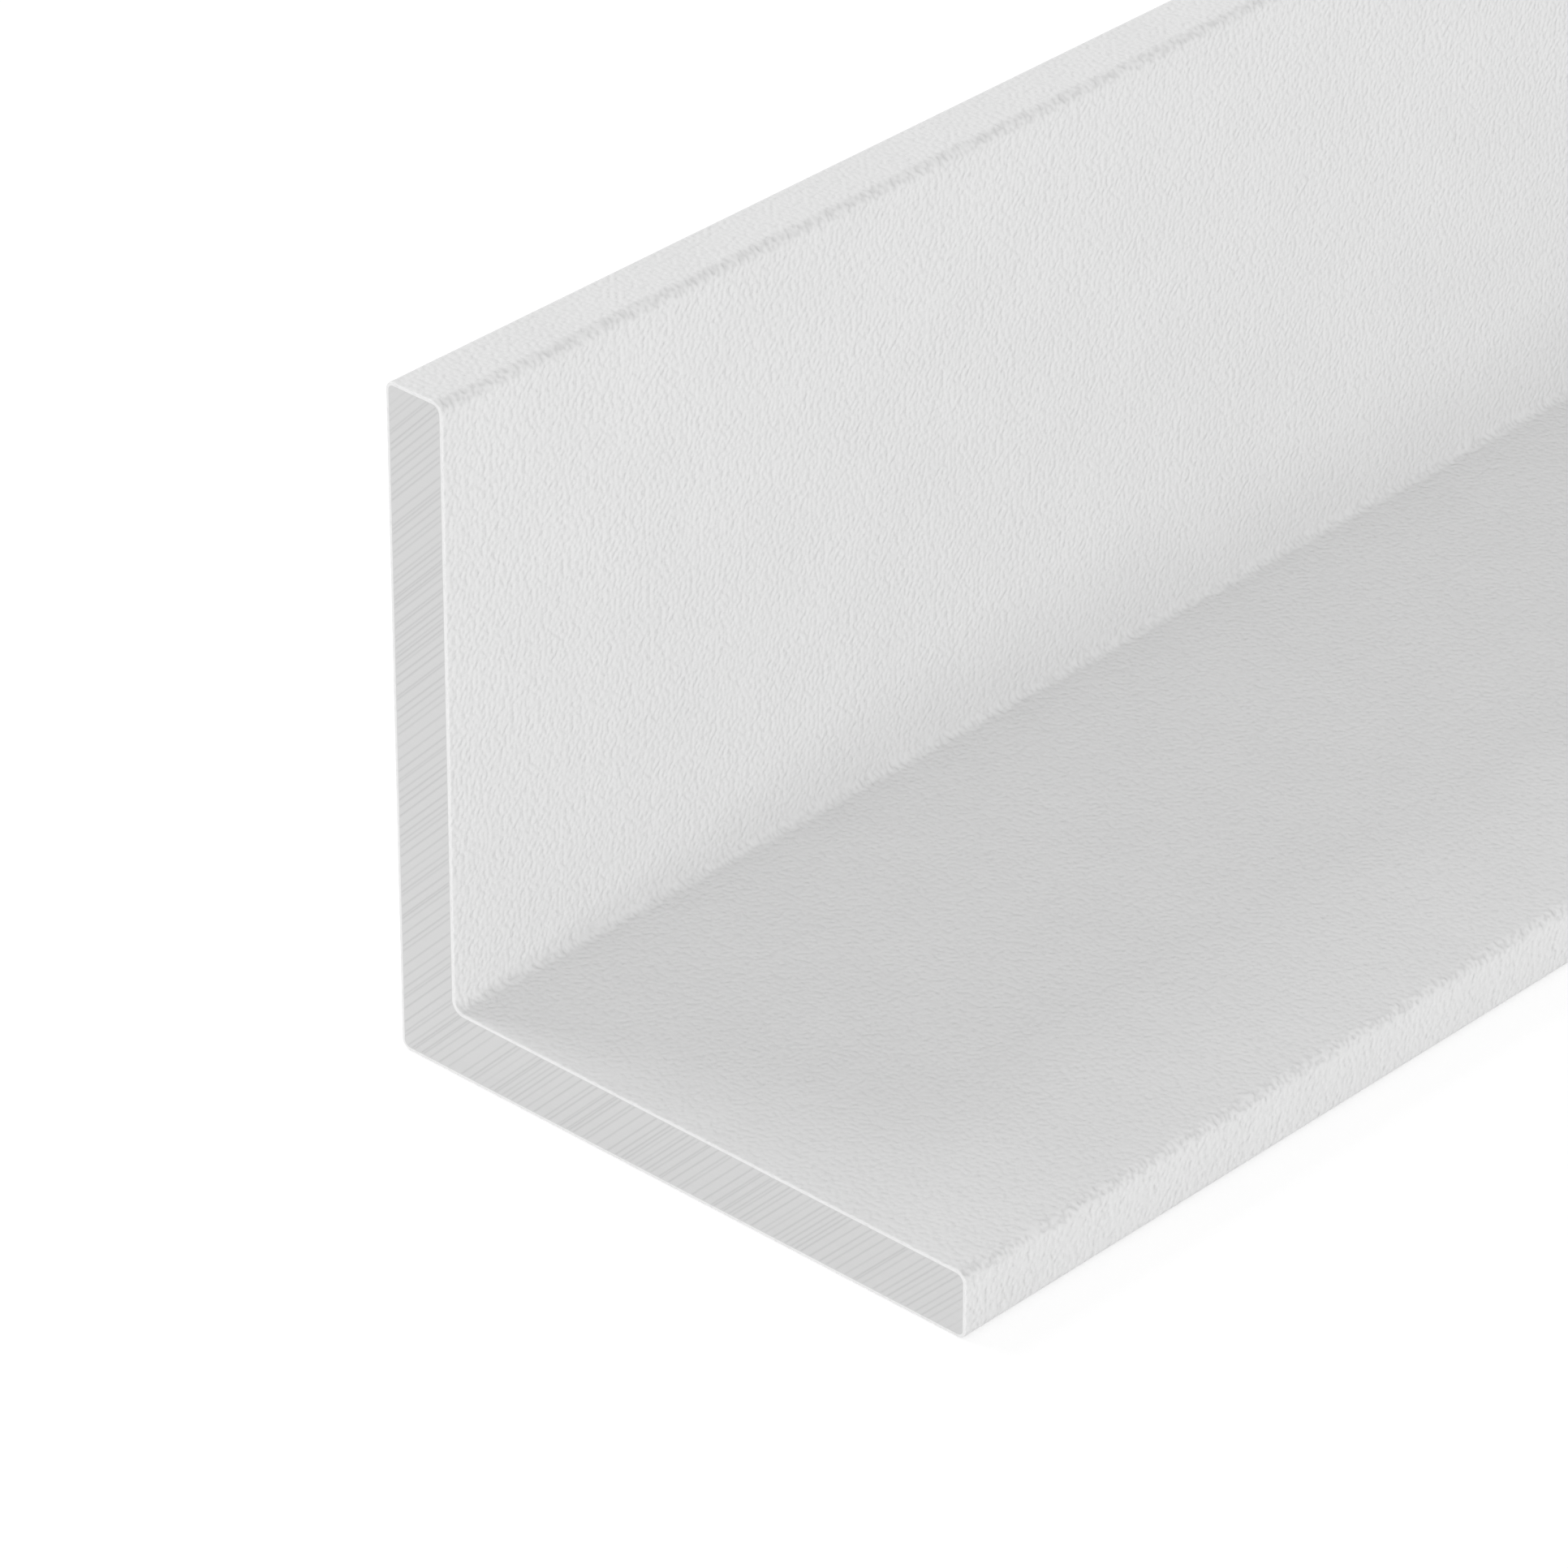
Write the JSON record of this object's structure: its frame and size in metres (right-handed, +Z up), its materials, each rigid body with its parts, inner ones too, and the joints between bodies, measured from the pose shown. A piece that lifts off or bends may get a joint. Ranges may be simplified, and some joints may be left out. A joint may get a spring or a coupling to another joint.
{
  "type": "aluminium angle profile",
  "caption": "Equal-leg L-shaped aluminium angle profile with a fine-textured white powder coat, sawn square at both ends; edges, corners and panels are trimmed, joined or carried with it.",
  "frame": {"origin": "on the floor under the middle of the bounding box, half way along the length", "axes": "+X across the base leg, away from the upright leg; +Y along the length; +Z up the upright leg"},
  "size_m": [0.02, 1, 0.02],
  "materials": {
    "white_coat": "fine-textured satin white powder coat on extruded aluminium, bare at the sawn ends"
  },
  "bodies": {
    "root": {"angle_profile": "white_coat"}
  },
  "joints": []
}
